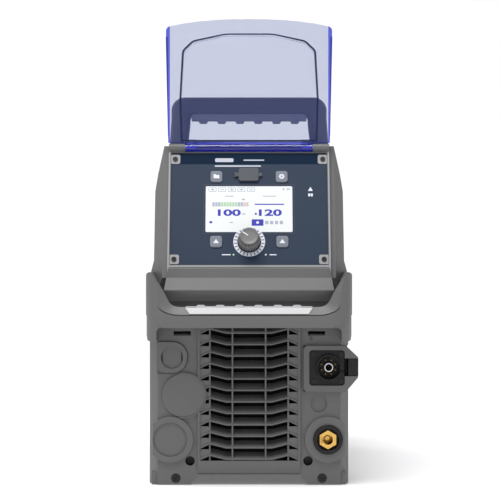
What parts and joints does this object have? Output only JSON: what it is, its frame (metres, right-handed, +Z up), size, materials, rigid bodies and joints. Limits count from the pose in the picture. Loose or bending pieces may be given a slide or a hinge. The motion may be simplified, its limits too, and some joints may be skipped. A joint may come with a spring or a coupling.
{
  "type": "plasma cutter unit",
  "caption": "Upright portable plasma cutting power source with tilted control panel, hinged clear lid, carrying handles, louvred front and torch and work sockets.",
  "frame": {"origin": "on the floor, at the centre of the footprint", "axes": "+X to the right as seen from the front, +Y towards the rear, +Z up; the front faces -Y"},
  "size_m": [0.2603, 0.61, 0.579],
  "materials": {
    "shell_grey": "fine grained injection-moulded plastic",
    "case_steel": "powder coat, fine texture",
    "grip_light": "soft-touch light grip",
    "panel_navy": "satin navy film",
    "lid_blue": "transparent blue polycarbonate",
    "black_plastic": "moulded black",
    "black_gloss": "moulded black, glossy",
    "rubber_black": "matt",
    "rubber_grey": "matt grey",
    "screw_black": "black oxide",
    "steel": "plated",
    "brass": "turned brass",
    "silver_tube": "nickel plated",
    "screen": "lit colour display",
    "clear_window": "clear hard-coated window",
    "board_green": "solder mask",
    "key_grey": "printed membrane key",
    "dial_grey": "moulded knob",
    "aluminium": "extruded",
    "copper_wire": "enamelled winding wire",
    "ferrite": "sintered ferrite"
  },
  "bodies": {
    "cabinet": {"air_filter": "rubber_black", "air_inlet": "brass", "base_plate": "case_steel", "blank_plugs": "shell_grey", "cable_gland": "black_plastic", "control_board": "board_green", "control_panel": "panel_navy", "cover_screws": "screw_black", "display_lens": "clear_window", "display_module": "screen", "encoder_body": "black_plastic", "fan_frame": "black_plastic", "fan_guard": "steel", "front_frame": "shell_grey", "front_grille": "shell_grey", "front_handle": "shell_grey", "front_handle_grip": "grip_light", "front_screws": "screw_black", "heatsink": "aluminium", "hinge_pins": "steel", "mains_switch_body": "black_plastic", "output_choke": "copper_wire", "panel_bezel": "shell_grey", "panel_screws": "screw_black", "power_board": "board_green", "power_modules": "black_plastic", "rear_frame": "shell_grey", "rear_handle": "shell_grey", "rear_handle_grip": "grip_light", "rubber_feet": "rubber_black", "side_panel_left": "case_steel", "side_panel_right": "case_steel", "solenoid_valve": "brass", "top_cover": "case_steel", "top_handle": "shell_grey", "top_handle_grip": "grip_light", "torch_flange": "black_plastic", "torch_flange_screws": "screw_black", "torch_gas_tube": "silver_tube", "torch_housing": "shell_grey", "torch_insulator": "black_gloss", "torch_pins": "brass", "transformer_core": "ferrite", "transformer_winding": "copper_wire", "usb_port": "steel", "work_socket_contact": "brass", "work_socket_nut": "brass", "work_socket_shell": "black_gloss"},
    "lid": {"lid": "lid_blue"},
    "encoder_slide": {"encoder_sleeve": "steel"},
    "dial": {"encoder_shaft": "steel", "knob": "dial_grey"},
    "menu_key": {"button_menu": "key_grey"},
    "settings_key": {"button_settings": "key_grey"},
    "down_key": {"button_down": "key_grey"},
    "up_key": {"button_up": "key_grey"},
    "port_flap": {"usb_cap": "rubber_grey"},
    "torch_release": {"torch_release_button": "black_plastic"},
    "fan": {"fan_rotor": "black_plastic"},
    "mains_switch": {"mains_switch_knob": "black_gloss"}
  },
  "joints": [
    {"name": "lid_swing", "type": "hinge", "parent": "cabinet", "child": "lid", "pos_m": [0, -0.21006, 0.41735], "axis": [1, 0, 0], "range_deg": [0, 158]},
    {"name": "encoder_push", "type": "slide", "parent": "cabinet", "child": "encoder_slide", "axis": [0, 0.9272, -0.3746], "range_m": [0, 0.0008], "stiffness_N_per_m": 1500},
    {"name": "knob_turn", "type": "hinge", "parent": "encoder_slide", "child": "dial", "pos_m": [0.0002, -0.25756, 0.29978], "axis": [0, -0.9272, 0.3746], "continuous": true},
    {"name": "menu_press", "type": "slide", "parent": "cabinet", "child": "menu_key", "axis": [0, 0.9272, -0.3746], "range_m": [0, 0.001], "stiffness_N_per_m": 400},
    {"name": "settings_press", "type": "slide", "parent": "cabinet", "child": "settings_key", "axis": [0, 0.9272, -0.3746], "range_m": [0, 0.001], "stiffness_N_per_m": 400},
    {"name": "down_press", "type": "slide", "parent": "cabinet", "child": "down_key", "axis": [0, 0.9272, -0.3746], "range_m": [0, 0.001], "stiffness_N_per_m": 400},
    {"name": "up_press", "type": "slide", "parent": "cabinet", "child": "up_key", "axis": [0, 0.9272, -0.3746], "range_m": [0, 0.001], "stiffness_N_per_m": 400},
    {"name": "flap_swing", "type": "hinge", "parent": "cabinet", "child": "port_flap", "pos_m": [-0.0172, -0.22398, 0.38317], "axis": [0, 0.3746, 0.9272], "range_deg": [-110, 0], "stiffness_Nm_per_rad": 0.004},
    {"name": "release_press", "type": "slide", "parent": "cabinet", "child": "torch_release", "axis": [-1, 0, 0], "range_m": [0, 0.003], "stiffness_N_per_m": 500},
    {"name": "fan_spin", "type": "hinge", "parent": "cabinet", "child": "fan", "pos_m": [0, 0.233, 0.15], "axis": [0, 1, 0], "continuous": true},
    {"name": "switch_turn", "type": "hinge", "parent": "cabinet", "child": "mains_switch", "pos_m": [-0.062, 0.27, 0.325], "axis": [0, 1, 0], "range_deg": [0, 90]}
  ]
}
